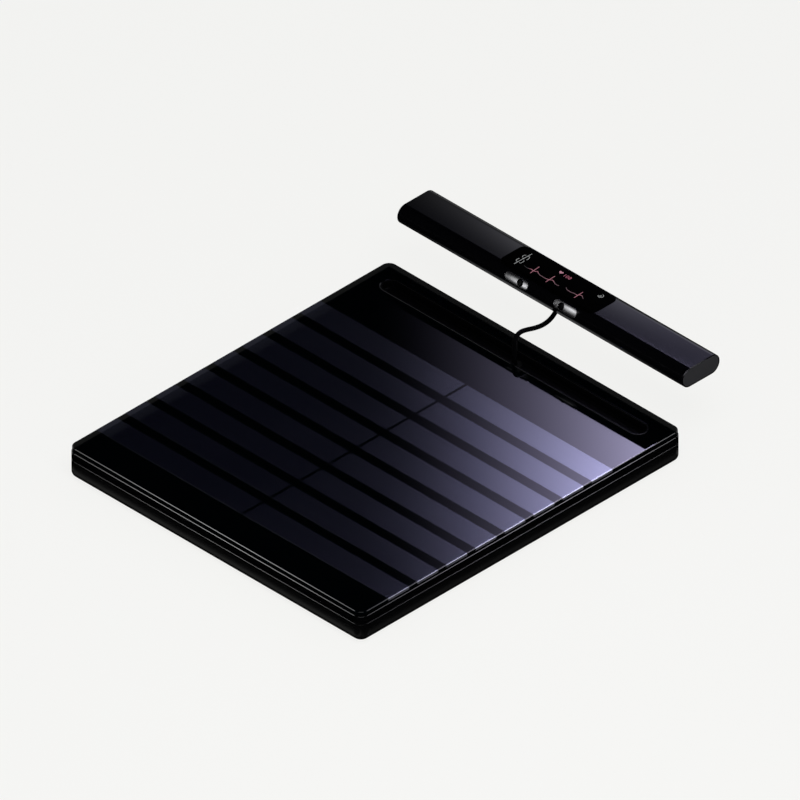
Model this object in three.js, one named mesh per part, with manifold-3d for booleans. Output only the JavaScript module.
// Smart bathroom scale: a glass platform on four load-cell feet, with a wired handle on a spring reel.
// Millimetres, +X along the handle, +Y towards the dock at the back, +Z up.
// The origin is on the floor, midway between the platform's front and the handle's back.
import * as THREE from "three";
import { mergeVertices } from "three/addons/utils/BufferGeometryUtils.js";
import Module from "manifold-3d";

const wasm = await Module();
wasm.setup();

// Clearances and counts
const seatGap = 0.3; // between a piece and what carries it
const seamGap = 0.3; // visible joint line between two mouldings
const cutOverrun = 2; // how far a cutter runs past the face that it cuts
const bearingGap = 0.1; // radial, between the reel's axle and the drum's bore
const cornerSegments = 4;
const sideSegments = 6; // per quarter of a rounded side
const roundSegments = 24;
const screwSegments = 8;
const buttonSegments = 16;

// Platform, from the floor up
const bodyWidth = 327;
const bodyDepth = 358.4;
const bodyCornerRadius = 8;
const footStandOut = 1.4;
const baseHeight = 16.3;
const baseWall = 2.2;
const baseFloor = 2.2;
const baseEdgeRadius = 5;
const frameHeight = 7.4;
const framePlate = 2.4;
const frameWall = 2.2;
const frameEdgeRadius = 0.6;
const frameRibThickness = 1.6;
const frameRibDepth = 4;
const sealThickness = 0.4;
const sealInset = 1.2;
const sealWidth = 9;
const glassInset = 0.5;
const glassThickness = 4;
const glassChamfer = 0.9;

// Electrode film on the glass
const bandCount = 8;
const bandGap = 9.45;
const firstBandFromBack = 77.8;
const frontStrip = 31.25; // bare glass in front of the last band
const bandSplit = 2.6;
const bandEdgeMargin = 0.5;
const filmThickness = 0.15;
const bandedDepth = bodyDepth - firstBandFromBack - frontStrip;
const bandWidth = (bandedDepth - (bandCount - 1) * bandGap) / bandCount;
const bandPitch = bandWidth + bandGap;

// Dock slot and the trough under it
const slotEndMargin = 17.5; // glass left beyond each end of the slot
const slotLength = bodyWidth - 2 * slotEndMargin;
const slotWidth = 17.4;
const slotFromBack = 23.7;
const slotChamfer = 0.6;
const troughDepth = 8;
const troughWall = 1;
const troughFloor = 1;
const troughFlangeWidth = 4;
const troughFlangeThickness = 1;
const grommetRadius = 4.2;
const grommetFlangeRadius = 6;
const grommetFlangeThickness = 1;
const grommetTail = 2;
const grommetBoreRadius = 2.25;

// Feet and load cells
const footInset = 34;
const footRadius = 15;
const footFlange = 3;
const footStemRadius = 5;
const footPadRadius = 13.5;
const footPadThickness = 0.8;
const cellSize = 38;
const cellThickness = 2.5;
const cellLift = 5;
const cellSlotWidth = 3;
const cellFrameWidth = 6;
const cellPostRadius = 2.6;

// Closing screws' bosses
const bossRadius = 3.6;
const bossInset = 14;
const pilotRadius = 1.3;
const screwHeadRadius = 3.1;
const screwHeadDepth = 1.8;
const pilotDepth = 13;

// Electronics in the platform
const batteryLength = 112;
const batteryWidth = 46;
const batteryHeight = 9;
const batteryCornerRadius = 4;
const batteryFromLeft = 36;
const batteryFromFront = 150;
const batteryCradleHeight = 5;
const batteryCradleThickness = 1.6;
const boardLength = 62;
const boardWidth = 44;
const boardThickness = 1.6;
const boardLift = 3.4;
const boardFromRight = 56;
const boardFromBack = 3.6;
const boardPostRadius = 2.4;
const boardPostInset = 5;
const chipHeight = 1.4;
const portWidth = 9;
const portHeight = 3.3;
const portShell = 0.5;
const portLength = 7.6;
const portTongueThickness = 0.8;
const portFloor = 1.6;

// Spring reel that winds the handle's cord
const reelFromSlot = 42;
const reelWall = 1.6;
const reelFloor = 1.4;
const drumRadius = 29;
const drumHeight = 9;
const drumFlange = 1;
const drumWoundRadius = 27;
const drumRunningGap = 1;
const barrelRadius = 17;
const barrelDepth = 6;
const axleRadius = 3;
const axleHeadRadius = 5;
const axleHeadThickness = 1;
const springThickness = 0.5;
const springHeight = 4.6;
const springTurns = 4;
const springStepsPerTurn = 12;
const reelEarRadius = 5;
const reelOutletWidth = 10;

// Handle: a straight bar with flat top and bottom and round long sides
const handleLength = 317.8;
const handleWidth = 41.75;
const handleHeight = 17.7;
const handleWall = 2;
const restBehind = 25; // handle's centre line behind the platform's back face
const restLift = 32.3; // handle's underside above the glass
const housingLength = 90;
const gripEndWall = 0.8;
const gripEndBevel = 0.4;
const capThickness = 1.6;
const capPlugLength = 4;
const capRecess = 0.15;
const capGap = 0.15;
const lensLength = 104;
const lensCornerRadius = 6;
const lensThickness = 0.9;
const lensGap = 0.15;
const moduleLength = 74;
const moduleWidth = 18;
const moduleHeight = 3;
const handleBoardLength = 84;
const handleBoardWidth = 20;
const handleBoardThickness = 1.2;
const spineWidth = 16;
const spineThickness = 2.6;
const spinePostRadius = 1.6;
const spinePostInset = 5;

// Button plates and buttons on the handle's front side
const buttonTilt = THREE.MathUtils.degToRad(29); // above the horizontal
const plateSpacing = 27; // from the handle's centre
const plateLength = 25;
const plateChord = 7.6;
const plateThickness = 1;
const plateProud = 0.2;
const buttonSpacing = 22.8;
const buttonRadius = 2.9;
const buttonDome = 0.45;
const buttonProud = 0.15;
const buttonFlangeRadius = 3.5;
const buttonFlangeThickness = 0.8;
const buttonFlangeDepth = 3.15; // flange's outer face below the handle's surface
const buttonTail = 0.8;

// Cord and the boot where it meets the handle
const cordRadius = 1.95;
const cordSides = 8;
const cordSteps = 32;
const bootLength = 3;
const bootRadius = 4;
const bootTipRadius = 3;
const bootFlangeRadius = 5.4;
const bootFlangeThickness = 0.8;
// The cord's route between the grommet and the boot: [back from the slot, up from the glass]
const cordRoute = [
  [0, 0],
  [0, 5],
  [0, 10],
  [0, 13.4],
  [0.5, 16.1],
  [2, 18.4],
  [4.3, 19.9],
  [7, 20.4],
  [9.8, 20.1],
  [14.9, 18.8],
  [20, 17.2],
  [26, 15.7],
  [30, 15.1],
  [33.8, 15.1],
  [37.4, 15.6],
  [41, 17],
  [44.3, 19.2],
  [46.8, 22],
  [48.3, 25.4],
];

// Levels and places that follow from the sizes
const baseTop = footStandOut + baseHeight;
const frameBottom = baseTop + seamGap;
const frameTop = frameBottom + frameHeight;
const glassBottom = frameTop + sealThickness;
const glassTop = glassBottom + glassThickness;
const floorTop = footStandOut + baseFloor;
const platformY = -(restBehind + handleWidth / 2) / 2;
const platformBack = platformY + bodyDepth / 2;
const platformFront = platformY - bodyDepth / 2;
const slotY = platformBack - slotFromBack;
const troughBottom = glassTop - troughDepth;
const handleY = platformBack + restBehind;
const handleZ = glassTop + restLift + handleHeight / 2;
const sideRadius = handleHeight / 2;
const flatHalf = handleWidth / 2 - sideRadius;
const handleEnd = handleLength / 2;
const housingEnd = housingLength / 2;

const black = { color: 0x0b0b0d, roughness: 0.4, metalness: 0 };
const finishes = {
  glass: new THREE.MeshStandardMaterial({ color: 0x060609, roughness: 0.05, metalness: 0 }),
  film: new THREE.MeshStandardMaterial({ color: 0x14142a, roughness: 0.08, metalness: 0.3 }),
  trim: new THREE.MeshStandardMaterial({ ...black, roughness: 0.25 }),
  casing: new THREE.MeshStandardMaterial(black),
  rubber: new THREE.MeshStandardMaterial({ color: 0x161616, roughness: 0.85, metalness: 0 }),
  steel: new THREE.MeshStandardMaterial({ color: 0x9a9ca0, roughness: 0.35, metalness: 1 }),
  silver: new THREE.MeshStandardMaterial({ color: 0xd6d6d8, roughness: 0.22, metalness: 1 }),
  board: new THREE.MeshStandardMaterial({ color: 0x0c3a22, roughness: 0.5, metalness: 0 }),
  battery: new THREE.MeshStandardMaterial({ color: 0x2d3f63, roughness: 0.5, metalness: 0 }),
  nylon: new THREE.MeshStandardMaterial({ color: 0x3c3c3e, roughness: 0.6, metalness: 0 }),
  endCap: new THREE.MeshStandardMaterial({ color: 0x4a4a4d, roughness: 0.5, metalness: 0.4 }),
  display: new THREE.MeshStandardMaterial({ color: 0x08080a, roughness: 0.3, metalness: 0 }),
  cord: new THREE.MeshStandardMaterial({ color: 0x101011, roughness: 0.6, metalness: 0 }),
};

const group = new THREE.Group();
const platform = new THREE.Group();
const handle = new THREE.Group();
handle.position.set(0, handleY, handleZ);
group.add(platform, handle);

// A closed three.js geometry as a solid that can be joined and cut
function solid(geometry) {
  const bare = geometry.clone();
  bare.deleteAttribute("normal");
  bare.deleteAttribute("uv");
  const merged = mergeVertices(bare);
  return new wasm.Manifold(
    new wasm.Mesh({
      numProp: 3,
      vertProperties: new Float32Array(merged.attributes.position.array),
      triVerts: new Uint32Array(merged.index.array),
    }),
  );
}

function addMesh(name, shape, material, parent) {
  const mesh = shape.getMesh();
  const geometry = new THREE.BufferGeometry();
  geometry.setAttribute("position", new THREE.BufferAttribute(new Float32Array(mesh.vertProperties), 3));
  geometry.setIndex(new THREE.BufferAttribute(new Uint32Array(mesh.triVerts), 1));
  geometry.computeVertexNormals();
  const made = new THREE.Mesh(geometry, material);
  made.name = name;
  parent.add(made);
}

// Outlines
function roundedOutline(width, depth, radius, x, y) {
  const shape = new THREE.Shape();
  const [dx, dy] = [width / 2 - radius, depth / 2 - radius];
  const corners = [
    [x + dx, y + dy],
    [x - dx, y + dy],
    [x - dx, y - dy],
    [x + dx, y - dy],
  ];
  corners.forEach(([cx, cy], i) => {
    const start = (i * Math.PI) / 2;
    shape.absarc(cx, cy, radius, start, start + Math.PI / 2, false);
  });
  return shape;
}

function pillOutline(length, width, x, y) {
  const shape = new THREE.Shape();
  const half = (length - width) / 2;
  shape.absarc(x + half, y, width / 2, -Math.PI / 2, Math.PI / 2, false);
  shape.absarc(x - half, y, width / 2, Math.PI / 2, (3 * Math.PI) / 2, false);
  return shape;
}

// Solids made from outlines, upright between two levels
function upright(outline, low, high, segments = cornerSegments) {
  const geometry = new THREE.ExtrudeGeometry(outline, {
    depth: high - low,
    bevelEnabled: false,
    curveSegments: segments,
  });
  return solid(geometry.translate(0, 0, low));
}

function uprightBevelled(outline, low, high, bevel, steps, segments = cornerSegments) {
  const geometry = new THREE.ExtrudeGeometry(outline, {
    depth: high - low - 2 * bevel,
    bevelEnabled: true,
    bevelThickness: bevel,
    bevelSize: bevel,
    bevelOffset: -bevel,
    bevelSegments: steps,
    curveSegments: segments,
  });
  return solid(geometry.translate(0, 0, low + bevel));
}

function block(width, depth, low, high, x, y) {
  const geometry = new THREE.BoxGeometry(width, depth, high - low);
  return solid(geometry.translate(x, y, (low + high) / 2));
}

function post(radius, low, high, x, y, segments = screwSegments) {
  const geometry = new THREE.CylinderGeometry(radius, radius, high - low, segments);
  return solid(geometry.rotateX(Math.PI / 2).translate(x, y, (low + high) / 2));
}

// A turned solid from [radius, height] points
function turned(points, segments = roundSegments) {
  const profile = points.map(([radius, height]) => new THREE.Vector2(radius, height));
  const lathe = new THREE.LatheGeometry(profile, segments);
  return solid(lathe.rotateX(Math.PI / 2));
}

function closedTurned(points) {
  return turned([...points, points[0]]);
}

function joined(first, others) {
  return others.reduce((whole, piece) => whole.add(piece), first);
}

function cutBy(whole, cutters) {
  return cutters.reduce((rest, cutter) => rest.subtract(cutter), whole);
}

const sides = [
  ["left", -1],
  ["right", 1],
];
const ends = [
  ["front", -1],
  ["back", 1],
];

// Glass top with ground edges and the dock slot
function glassPlate() {
  const width = bodyWidth - 2 * glassInset;
  const depth = bodyDepth - 2 * glassInset;
  const outline = roundedOutline(width, depth, bodyCornerRadius - glassInset, 0, platformY);
  const plate = uprightBevelled(outline, glassBottom, glassTop, glassChamfer, 1);
  const slot = upright(
    pillOutline(slotLength, slotWidth, 0, slotY),
    glassBottom - cutOverrun,
    glassTop + cutOverrun,
    sideSegments,
  );
  return plate.subtract(slot).subtract(slotEdge());
}

// The bevel ground round the slot's upper edge
function slotEdge() {
  const spread = slotChamfer + cutOverrun;
  const outline = pillOutline(slotLength + 2 * spread, slotWidth + 2 * spread, 0, slotY);
  const low = glassTop - slotChamfer;
  return uprightBevelled(outline, low, low + 2 * spread + cutOverrun, spread, 1, sideSegments);
}

// Clear electrode film, in bands across the glass, each parted in the middle
function electrodeBands() {
  const reach = bodyWidth / 2 - glassInset - glassChamfer - bandEdgeMargin;
  const length = reach - bandSplit / 2;
  for (let i = 0; i < bandCount; i++) {
    const y = platformBack - firstBandFromBack - i * bandPitch - bandWidth / 2;
    for (const [side, sign] of sides) {
      const x = sign * (bandSplit / 2 + length / 2);
      const pad = block(length, bandWidth, glassTop, glassTop + filmThickness, x, y);
      addMesh(`${side}_electrode_${i + 1}`, pad, finishes.film, platform);
    }
  }
}

// Foam seal that bonds the glass to the frame, set in to leave a fine groove
function glassSeal() {
  const inset = glassInset + sealInset;
  const outer = roundedOutline(
    bodyWidth - 2 * inset,
    bodyDepth - 2 * inset,
    bodyCornerRadius - inset,
    0,
    platformY,
  );
  const open = inset + sealWidth;
  const hole = roundedOutline(bodyWidth - 2 * open, bodyDepth - 2 * open, bodyCornerRadius, 0, platformY);
  return upright(outer, frameTop, glassBottom).subtract(
    upright(hole, frameTop - cutOverrun, glassBottom + cutOverrun),
  );
}

// Ribbed frame under the glass, shut at the top and open below
function topFrame() {
  const outline = roundedOutline(bodyWidth, bodyDepth, bodyCornerRadius, 0, platformY);
  const hollow = roundedOutline(
    bodyWidth - 2 * frameWall,
    bodyDepth - 2 * frameWall,
    bodyCornerRadius - frameWall,
    0,
    platformY,
  );
  const plateBottom = frameTop - framePlate;
  const ribBottom = plateBottom - frameRibDepth;
  const edgeSteps = 2;
  const shell = uprightBevelled(outline, frameBottom, frameTop, frameEdgeRadius, edgeSteps).subtract(
    upright(hollow, frameBottom - cutOverrun, plateBottom),
  );
  const crossRibShares = [-0.38, -0.15, 0.12];
  const longRibShares = [-0.25, 0, 0.25];
  const insideWidth = bodyWidth - frameWall;
  const longRibBack = slotY - slotWidth / 2 - troughFlangeWidth;
  const longRibFront = platformFront + frameWall / 2;
  const ribs = [
    ...crossRibShares.map((share) =>
      block(insideWidth, frameRibThickness, ribBottom, plateBottom, 0, platformY + share * bodyDepth),
    ),
    ...longRibShares.map((share) =>
      block(
        frameRibThickness,
        longRibBack - longRibFront,
        ribBottom,
        plateBottom,
        share * bodyWidth,
        (longRibBack + longRibFront) / 2,
      ),
    ),
  ];
  const slot = pillOutline(slotLength, slotWidth, 0, slotY);
  const rebateSpread = troughFlangeWidth + seatGap;
  const rebate = pillOutline(slotLength + 2 * rebateSpread, slotWidth + 2 * rebateSpread, 0, slotY);
  return cutBy(joined(shell, ribs), [
    upright(slot, frameBottom - cutOverrun, frameTop + cutOverrun, sideSegments),
    upright(rebate, frameTop - troughFlangeThickness, frameTop + cutOverrun, sideSegments),
  ]);
}

// Trough below the slot, hung by its flange in the frame's rebate
function dockTray() {
  const length = slotLength - 2 * seatGap;
  const width = slotWidth - 2 * seatGap;
  const bottom = troughBottom - troughFloor;
  const cup = upright(pillOutline(length, width, 0, slotY), bottom, glassTop, sideSegments);
  const flange = upright(
    pillOutline(length + 2 * troughFlangeWidth, width + 2 * troughFlangeWidth, 0, slotY),
    frameTop - troughFlangeThickness,
    frameTop,
    sideSegments,
  );
  const hollow = pillOutline(length - 2 * troughWall, width - 2 * troughWall, 0, slotY);
  return cutBy(cup.add(flange), [
    upright(hollow, troughBottom, glassTop + cutOverrun, sideSegments),
    post(grommetRadius + seatGap, bottom - cutOverrun, troughBottom + cutOverrun, 0, slotY, roundSegments),
  ]);
}

function cordGrommet() {
  const tailEnd = troughBottom - troughFloor - grommetTail;
  const top = troughBottom + grommetFlangeThickness;
  return closedTurned([
    [grommetBoreRadius, tailEnd],
    [grommetRadius, tailEnd],
    [grommetRadius, troughBottom],
    [grommetFlangeRadius, troughBottom],
    [grommetFlangeRadius, top - grommetFlangeThickness / 2],
    [grommetFlangeRadius - grommetFlangeThickness / 2, top],
    [grommetBoreRadius, top],
  ]).translate(0, slotY, 0);
}

const footX = bodyWidth / 2 - footInset;
const footOut = bodyDepth / 2 - footInset;
const cellBottom = floorTop + cellLift;
const boardX = bodyWidth / 2 - boardFromRight - boardLength / 2;
const boardY = platformBack - boardFromBack - boardWidth / 2;
const boardBottom = floorTop + boardLift;
const boardTop = boardBottom + boardThickness;
const portZ = boardTop + portHeight / 2 + seatGap;
const reelY = slotY - reelFromSlot;
const reelInner = drumRadius + drumRunningGap;
const reelOuter = reelInner + reelWall;
const reelBottom = floorTop + seatGap;
const batteryX = -bodyWidth / 2 + batteryFromLeft + batteryLength / 2;
const batteryY = platformFront + batteryFromFront + batteryWidth / 2;

// A flat outline laid across the back wall, pushed towards +Y
function throughBack(outline, front, back, x, z) {
  const geometry = new THREE.ExtrudeGeometry(outline, {
    depth: back - front,
    bevelEnabled: false,
    curveSegments: cornerSegments,
  });
  return solid(geometry.rotateX(Math.PI / 2).translate(x, back, z));
}

// Moulded tray that closes the platform from below: posts, bosses and a cradle rise from its floor
function baseShell() {
  const outline = roundedOutline(bodyWidth, bodyDepth, bodyCornerRadius, 0, platformY);
  const hollow = roundedOutline(
    bodyWidth - 2 * baseWall,
    bodyDepth - 2 * baseWall,
    bodyCornerRadius - baseWall,
    0,
    platformY,
  );
  const innerEdge = baseEdgeRadius - baseWall;
  const edgeSteps = 3;
  const tall = baseTop + 2 * baseEdgeRadius;
  const above = block(
    bodyWidth + cutOverrun,
    bodyDepth + cutOverrun,
    baseTop,
    tall + cutOverrun,
    0,
    platformY,
  );
  const tray = uprightBevelled(outline, footStandOut, tall, baseEdgeRadius, edgeSteps)
    .subtract(uprightBevelled(hollow, floorTop, tall + cutOverrun, innerEdge, edgeSteps))
    .subtract(above);
  const risers = [];
  const holes = [];
  const rootedIn = footStandOut + baseFloor / 2; // risers start inside the floor
  const cellPost = cellSize / 2 - cellPostRadius - seatGap;
  for (const [, sx] of sides) {
    for (const [, sy] of ends) {
      const [x, y] = [sx * footX, platformY + sy * footOut];
      holes.push(post(footRadius + seatGap, 0, floorTop + cutOverrun, x, y, roundSegments));
      for (const [, px] of sides) {
        for (const [, py] of ends) {
          const [cellX, cellY] = [x + px * cellPost, y + py * cellPost];
          risers.push(post(cellPostRadius, rootedIn, cellBottom, cellX, cellY));
        }
      }
    }
  }
  const bossTop = frameTop - framePlate - seatGap;
  const bossX = bodyWidth / 2 - bossInset;
  const bossShares = [-0.28, 0, 0.26];
  for (const [, sx] of sides) {
    for (const share of bossShares) {
      const [x, y] = [sx * bossX, platformY + share * bodyDepth];
      risers.push(post(bossRadius, rootedIn, bossTop, x, y));
      holes.push(post(screwHeadRadius, 0, footStandOut + screwHeadDepth, x, y));
      holes.push(post(pilotRadius, 0, footStandOut + pilotDepth, x, y));
    }
  }
  const [postX, postY] = [boardLength / 2 - boardPostInset, boardWidth / 2 - boardPostInset];
  for (const [, sx] of sides) {
    for (const [, sy] of ends) {
      const [x, y] = [boardX + sx * postX, boardY + sy * postY];
      risers.push(post(boardPostRadius, rootedIn, boardBottom, x, y));
    }
  }
  const cradle = block(
    batteryLength + 2 * (seatGap + batteryCradleThickness),
    batteryWidth + 2 * (seatGap + batteryCradleThickness),
    rootedIn,
    floorTop + batteryCradleHeight,
    batteryX,
    batteryY,
  ).subtract(
    block(
      batteryLength + 2 * seatGap,
      batteryWidth + 2 * seatGap,
      0,
      floorTop + batteryCradleHeight + cutOverrun,
      batteryX,
      batteryY,
    ),
  );
  risers.push(cradle);
  const portHole = pillOutline(portWidth + 2 * seatGap, portHeight + 2 * seatGap, 0, 0);
  holes.push(
    throughBack(portHole, platformBack - baseWall - cutOverrun, platformBack + cutOverrun, boardX, portZ),
  );
  return cutBy(joined(tray, risers), holes);
}

// One corner: a rubber pad, a foot that floats in the base, and the load cell that it presses
function corner(name, x, y) {
  const footBottom = footPadThickness;
  const flangeTop = footBottom + footFlange;
  const stemTop = cellBottom - seatGap;
  const slope = footFlange / 2;
  const foot = turned([
    [0, footBottom],
    [footRadius - slope / 2, footBottom],
    [footRadius, footBottom + slope / 2],
    [footRadius, flangeTop - slope],
    [footStemRadius + slope, flangeTop],
    [footStemRadius, flangeTop + slope / 2],
    [footStemRadius, stemTop],
    [0, stemTop],
  ]).translate(x, y, 0);
  addMesh(`foot_${name}`, foot, finishes.casing, platform);
  const pad = post(footPadRadius, 0, footPadThickness, x, y, roundSegments);
  addMesh(`foot_pad_${name}`, pad, finishes.rubber, platform);
  const tongueFrame = cellSize - 2 * cellFrameWidth;
  const slotLow = cellBottom - cutOverrun;
  const slotHigh = cellBottom + cellThickness + cutOverrun;
  const offset = tongueFrame / 2 - cellSlotWidth / 2;
  const cuts = sides.map(([, sign]) =>
    block(cellSlotWidth, tongueFrame, slotLow, slotHigh, x + sign * offset, y),
  );
  cuts.push(block(tongueFrame, cellSlotWidth, slotLow, slotHigh, x, y - offset));
  const plate = roundedOutline(cellSize, cellSize, cellSlotWidth, x, y);
  const cell = cutBy(upright(plate, cellBottom, cellBottom + cellThickness), cuts);
  addMesh(`load_cell_${name}`, cell, finishes.steel, platform);
}

function batteryPack() {
  const outline = roundedOutline(batteryLength, batteryWidth, batteryCornerRadius, batteryX, batteryY);
  const low = floorTop + seatGap;
  return uprightBevelled(outline, low, low + batteryHeight, batteryCornerRadius / 4, 1);
}

function mainBoard() {
  const board = block(boardLength, boardWidth, boardBottom, boardTop, boardX, boardY);
  const chipPlaceShares = [
    [-0.22, -0.18, 0.3],
    [0.2, -0.24, 0.2],
    [0.26, 0.08, 0.14],
  ];
  const chips = chipPlaceShares.map(([sx, sy, size]) =>
    block(
      size * boardWidth,
      size * boardWidth,
      boardBottom + boardThickness / 2,
      boardTop + chipHeight,
      boardX + sx * boardLength,
      boardY + sy * boardWidth,
    ),
  );
  return joined(board, chips);
}

// Charging socket on the board's back edge
function chargingPort() {
  const mouth = platformBack - baseWall / 2;
  const back = mouth - portLength;
  const floor = back + portFloor;
  const shell = throughBack(pillOutline(portWidth, portHeight, 0, 0), back, mouth, boardX, portZ);
  const openWidth = portWidth - 2 * portShell;
  const openHeight = portHeight - 2 * portShell;
  const opening = throughBack(
    pillOutline(openWidth, openHeight, 0, 0),
    floor,
    mouth + cutOverrun,
    boardX,
    portZ,
  );
  const tongueWidth = openWidth - openHeight;
  const tongueEnd = mouth - portFloor;
  const tongue = block(
    tongueWidth,
    tongueEnd - back,
    portZ - portTongueThickness / 2,
    portZ + portTongueThickness / 2,
    boardX,
    (tongueEnd + back) / 2,
  );
  return shell.subtract(opening).add(tongue);
}

// Reel: a cup with three ears, its axle, the drum with the wound cord, and the spiral spring in the drum
function reelHousing() {
  const top = reelBottom + reelFloor + seatGap + drumHeight + seatGap;
  const cup = closedTurned([
    [axleRadius + seatGap, reelBottom],
    [reelOuter, reelBottom],
    [reelOuter, top],
    [reelInner, top],
    [reelInner, reelBottom + reelFloor],
    [axleRadius + seatGap, reelBottom + reelFloor],
  ]);
  const earAngleShares = [-0.5, 1 / 6, 5 / 6];
  const ears = earAngleShares.map((share) => {
    const angle = share * Math.PI;
    const reach = reelOuter + reelEarRadius / 2;
    return post(
      reelEarRadius,
      reelBottom,
      reelBottom + reelFloor,
      reach * Math.cos(angle),
      reach * Math.sin(angle),
    );
  });
  const outlet = block(
    reelOutletWidth,
    reelOuter,
    reelBottom + reelFloor + cutOverrun,
    top + cutOverrun,
    0,
    reelOuter,
  );
  return joined(cup, ears).subtract(outlet).translate(0, reelY, 0);
}

const drumBottom = reelBottom + reelFloor + seatGap;
const drumTop = drumBottom + drumHeight;

function reelAxle() {
  const headBottom = drumTop + seatGap;
  return turned([
    [0, reelBottom],
    [axleRadius, reelBottom],
    [axleRadius, headBottom],
    [axleHeadRadius, headBottom],
    [axleHeadRadius, headBottom + axleHeadThickness],
    [0, headBottom + axleHeadThickness],
  ]).translate(0, reelY, 0);
}

function reelDrum() {
  const bore = axleRadius + bearingGap;
  return closedTurned([
    [bore, drumBottom + barrelDepth],
    [barrelRadius, drumBottom + barrelDepth],
    [barrelRadius, drumBottom],
    [drumRadius, drumBottom],
    [drumRadius, drumBottom + drumFlange],
    [drumWoundRadius, drumBottom + drumFlange],
    [drumWoundRadius, drumTop - drumFlange],
    [drumRadius, drumTop - drumFlange],
    [drumRadius, drumTop],
    [bore, drumTop],
  ]).translate(0, reelY, 0);
}

function reelSpring() {
  const first = axleRadius + seatGap;
  const last = barrelRadius - seatGap - springThickness;
  const steps = springTurns * springStepsPerTurn;
  const inner = [];
  const outer = [];
  for (let i = 0; i <= steps; i++) {
    const angle = (i / springStepsPerTurn) * 2 * Math.PI;
    const radius = first + ((last - first) * i) / steps;
    inner.push(new THREE.Vector2(radius * Math.cos(angle), radius * Math.sin(angle)));
    const far = radius + springThickness;
    outer.push(new THREE.Vector2(far * Math.cos(angle), far * Math.sin(angle)));
  }
  const ribbon = new THREE.Shape([...outer, ...inner.reverse()]);
  const low = drumBottom + (barrelDepth - springHeight) / 2;
  return upright(ribbon, low, low + springHeight).translate(0, reelY, 0);
}

// Handle: outlines across the bar are pushed along it, from one place to another
const acrossToAlong = new THREE.Matrix4().makeBasis(
  new THREE.Vector3(0, 1, 0),
  new THREE.Vector3(0, 0, 1),
  new THREE.Vector3(1, 0, 0),
);

function alongHandle(inset, from, to) {
  const outline = pillOutline(handleWidth - 2 * inset, handleHeight - 2 * inset, 0, 0);
  const geometry = new THREE.ExtrudeGeometry(outline, {
    depth: to - from,
    bevelEnabled: false,
    curveSegments: sideSegments,
  });
  return solid(geometry.applyMatrix4(acrossToAlong).translate(from, 0, 0));
}

function bevelledAlongHandle(from, to) {
  const outline = pillOutline(handleWidth, handleHeight, 0, 0);
  const geometry = new THREE.ExtrudeGeometry(outline, {
    depth: to - from - 2 * gripEndBevel,
    bevelEnabled: true,
    bevelThickness: gripEndBevel,
    bevelSize: gripEndBevel,
    bevelOffset: -gripEndBevel,
    bevelSegments: 2,
    curveSegments: sideSegments,
  });
  return solid(geometry.applyMatrix4(acrossToAlong).translate(from + gripEndBevel, 0, 0));
}

const lensBottom = handleHeight / 2 - lensThickness;

function lensOutline(spread) {
  return roundedOutline(
    lensLength + 2 * spread,
    2 * flatHalf + 2 * spread,
    lensCornerRadius + spread,
    0,
    0,
  );
}

function lensPocket() {
  return upright(lensOutline(lensGap), lensBottom, handleHeight / 2 + cutOverrun);
}

// A grip is a tube, cut for the lens at one end and for its cap at the other
function grip(sign) {
  const inner = housingEnd + seamGap;
  const whole = bevelledAlongHandle(inner - handleHeight, handleEnd);
  const capSeat = handleEnd - capThickness - capRecess;
  const tube = cutBy(whole, [
    alongHandle(-cutOverrun, inner - handleHeight - cutOverrun, inner),
    alongHandle(handleWall, inner - cutOverrun, handleEnd + cutOverrun),
    alongHandle(gripEndWall, capSeat - capGap, handleEnd + cutOverrun),
  ]);
  const facing = sign > 0 ? tube : tube.mirror([1, 0, 0]);
  return facing.subtract(lensPocket());
}

function endCap(sign) {
  const face = handleEnd - capRecess;
  const shoulder = face - capThickness;
  const cap = alongHandle(gripEndWall + capGap, shoulder, face).add(
    alongHandle(handleWall + capGap, shoulder - capPlugLength, shoulder),
  );
  return sign > 0 ? cap : cap.mirror([1, 0, 0]);
}

// Things that stand square to the button face, pushed out from the round side's axis
const buttonOut = new THREE.Vector3(0, -Math.cos(buttonTilt), Math.sin(buttonTilt));
const buttonUp = new THREE.Vector3(0, Math.sin(buttonTilt), Math.cos(buttonTilt));
const buttonFrame = new THREE.Matrix4().makeBasis(new THREE.Vector3(1, 0, 0), buttonUp, buttonOut);

function faceFrame(x) {
  return buttonFrame.clone().setPosition(x, -flatHalf, 0);
}

function platePrism(spread, x) {
  const outline = pillOutline(plateLength + 2 * spread, plateChord + 2 * spread, 0, 0);
  const geometry = new THREE.ExtrudeGeometry(outline, {
    depth: handleHeight,
    bevelEnabled: false,
    curveSegments: sideSegments,
  });
  return solid(geometry.applyMatrix4(faceFrame(x)));
}

function roundSide(radius) {
  const rod = new THREE.CylinderGeometry(radius, radius, housingLength, 4 * sideSegments);
  return solid(rod.rotateZ(Math.PI / 2).translate(0, -flatHalf, 0));
}

function faceTurned(points, x) {
  const profile = points.map(([radius, height]) => new THREE.Vector2(radius, height));
  const lathe = new THREE.LatheGeometry(profile, buttonSegments);
  return solid(lathe.rotateX(Math.PI / 2).applyMatrix4(faceFrame(x)));
}

function faceBore(radius, from, to, x) {
  return faceTurned(
    [
      [0, from],
      [radius, from],
      [radius, to],
      [0, to],
    ],
    x,
  );
}

const plateInner = sideRadius + plateProud - plateThickness;
const flangeTop = sideRadius - buttonFlangeDepth;

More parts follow.
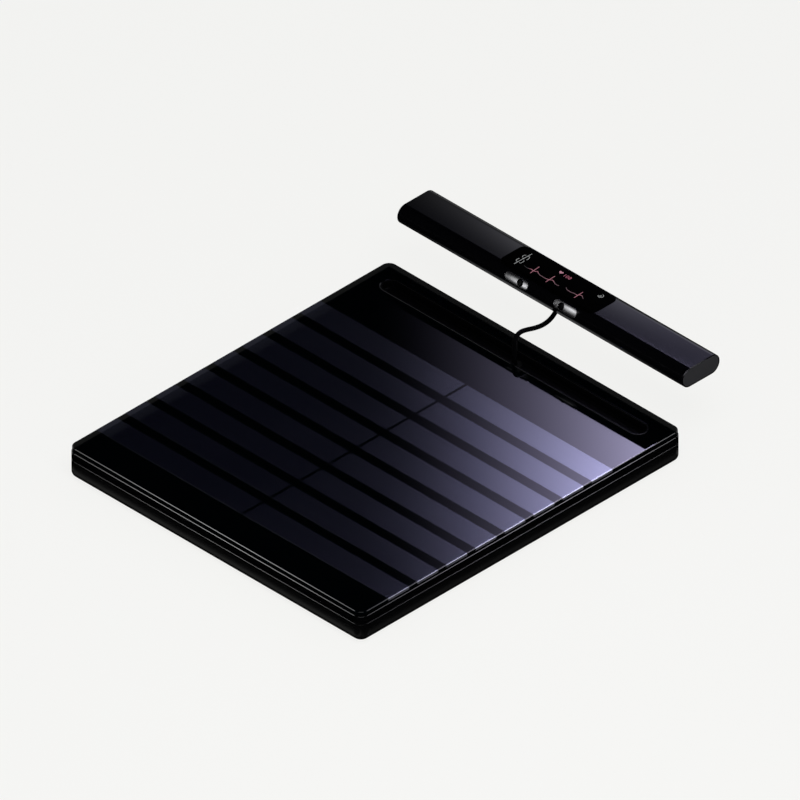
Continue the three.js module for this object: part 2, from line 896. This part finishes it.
// Middle of the handle, with the display window, the plates' recesses and the boot's hole
function displayHousing() {
  const body = alongHandle(0, -housingEnd, housingEnd).subtract(
    alongHandle(handleWall, -housingEnd - cutOverrun, housingEnd + cutOverrun),
  );
  const window = block(
    moduleLength + 2 * seatGap,
    moduleWidth + 2 * seatGap,
    0,
    handleHeight / 2 + cutOverrun,
    0,
    0,
  );
  const bootHole = post(bootRadius + seatGap, -handleHeight, 0, 0, 0, roundSegments);
  const cuts = [lensPocket(), window, bootHole];
  const recessFloor = roundSide(plateInner - seatGap);
  for (const [, sign] of sides) {
    cuts.push(platePrism(seatGap, sign * plateSpacing).subtract(recessFloor));
    const bore = buttonRadius + seatGap;
    cuts.push(faceBore(bore, 0, sideRadius + cutOverrun, sign * buttonSpacing));
    const pocket = buttonFlangeRadius + seatGap;
    cuts.push(faceBore(pocket, 0, flangeTop + seatGap, sign * buttonSpacing));
  }
  return cutBy(body, cuts);
}

function buttonPlate(sign) {
  const skin = roundSide(sideRadius + plateProud).subtract(roundSide(plateInner));
  const plate = skin.intersect(platePrism(0, sign * plateSpacing));
  const bore = faceBore(buttonRadius + seatGap, 0, handleHeight, sign * buttonSpacing);
  return plate.subtract(bore);
}

function button(sign) {
  const top = sideRadius + plateProud + buttonProud;
  const shoulder = top - buttonDome;
  const flangeBottom = flangeTop - buttonFlangeThickness;
  return faceTurned(
    [
      [0, flangeBottom - buttonTail],
      [buttonRadius, flangeBottom - buttonTail],
      [buttonRadius, flangeBottom],
      [buttonFlangeRadius, flangeBottom],
      [buttonFlangeRadius, flangeTop],
      [buttonRadius, flangeTop],
      [buttonRadius, shoulder],
      [buttonRadius * Math.cos(Math.PI / 6), shoulder + buttonDome / 2],
      [buttonRadius / 2, top - buttonDome / 8],
      [0, top],
    ],
    sign * buttonSpacing,
  );
}

const moduleTop = lensBottom - seatGap;
const handleBoardTop = moduleTop - moduleHeight;
const handleBoardBottom = handleBoardTop - handleBoardThickness;
const spineBottom = -handleHeight / 2 + handleWall + seatGap;
const spineTop = spineBottom + spineThickness;

// Strip that ties the grips, the housing and the caps together and carries the board
function handleSpine() {
  const reach = handleEnd - capRecess - capThickness - capPlugLength - seatGap;
  const strip = block(2 * reach, spineWidth, spineBottom, spineTop, 0, 0);
  const posts = sides.flatMap(([, sx]) =>
    ends.map(([, sy]) =>
      post(
        spinePostRadius,
        spineBottom + spineThickness / 2,
        handleBoardBottom,
        sx * (handleBoardLength / 2 - spinePostInset),
        sy * (handleBoardWidth / 2 - spinePostInset),
      ),
    ),
  );
  const bootClear = bootFlangeRadius + seatGap;
  const hole = post(bootClear, -handleHeight, spineTop + cutOverrun, 0, 0, roundSegments);
  return joined(strip, posts).subtract(hole);
}

function cordBoot() {
  const underside = -handleHeight / 2;
  const flangeLow = underside + handleWall + seatGap;
  const taperStart = underside - bootLength / 6;
  return turned([
    [0, underside - bootLength],
    [bootTipRadius, underside - bootLength],
    [bootRadius, taperStart],
    [bootRadius, flangeLow],
    [bootFlangeRadius, flangeLow],
    [bootFlangeRadius, flangeLow + bootFlangeThickness],
    [0, flangeLow + bootFlangeThickness],
  ]);
}

// The cord leaves the grommet upright, arches over the platform's edge and turns up into the boot
function handleCord() {
  const start = troughBottom + grommetFlangeThickness + seatGap;
  const end = glassTop + restLift - bootLength - seatGap;
  const points = [
    new THREE.Vector3(0, slotY, start),
    ...cordRoute.map(([back, up]) => new THREE.Vector3(0, slotY + back, glassTop + up)),
    new THREE.Vector3(0, handleY, end),
  ];
  const route = new THREE.CatmullRomCurve3(points, false, "centripetal");
  const section = new THREE.Shape();
  for (let i = 0; i < cordSides; i++) {
    const angle = (i / cordSides) * 2 * Math.PI;
    const [a, b] = [cordRadius * Math.cos(angle), cordRadius * Math.sin(angle)];
    if (i) section.lineTo(a, b);
    else section.moveTo(a, b);
  }
  const tube = new THREE.ExtrudeGeometry(section, {
    steps: cordSteps,
    bevelEnabled: false,
    extrudePath: route,
  });
  return solid(tube);
}

addMesh("glass_plate", glassPlate(), finishes.glass, platform);
electrodeBands();
addMesh("glass_seal", glassSeal(), finishes.rubber, platform);
addMesh("top_frame", topFrame(), finishes.trim, platform);
addMesh("dock_tray", dockTray(), finishes.trim, platform);
addMesh("cord_grommet", cordGrommet(), finishes.rubber, platform);
addMesh("base_shell", baseShell(), finishes.casing, platform);
for (const [end, sy] of ends) {
  for (const [side, sx] of sides) corner(`${end}_${side}`, sx * footX, platformY + sy * footOut);
}
addMesh("battery_pack", batteryPack(), finishes.battery, platform);
addMesh("main_board", mainBoard(), finishes.board, platform);
addMesh("charging_port", chargingPort(), finishes.steel, platform);
addMesh("reel_housing", reelHousing(), finishes.nylon, platform);
addMesh("reel_axle", reelAxle(), finishes.steel, platform);
addMesh("reel_drum", reelDrum(), finishes.nylon, platform);
addMesh("reel_spring", reelSpring(), finishes.steel, platform);
addMesh("handle_cord", handleCord(), finishes.cord, platform);

addMesh("display_housing", displayHousing(), finishes.trim, handle);
addMesh("display_lens", upright(lensOutline(0), lensBottom, handleHeight / 2), finishes.glass, handle);
const displayModule = block(moduleLength, moduleWidth, handleBoardTop, moduleTop, 0, 0);
addMesh("display_module", displayModule, finishes.display, handle);
const handleBoard = block(handleBoardLength, handleBoardWidth, handleBoardBottom, handleBoardTop, 0, 0);
addMesh("handle_board", handleBoard, finishes.board, handle);
addMesh("handle_spine", handleSpine(), finishes.steel, handle);
addMesh("cord_boot", cordBoot(), finishes.rubber, handle);
for (const [side, sign] of sides) {
  addMesh(`${side}_grip`, grip(sign), finishes.trim, handle);
  addMesh(`${side}_end_cap`, endCap(sign), finishes.endCap, handle);
  addMesh(`${side}_button_plate`, buttonPlate(sign), finishes.silver, handle);
  addMesh(`${side}_button`, button(sign), finishes.trim, handle);
}

export default group;
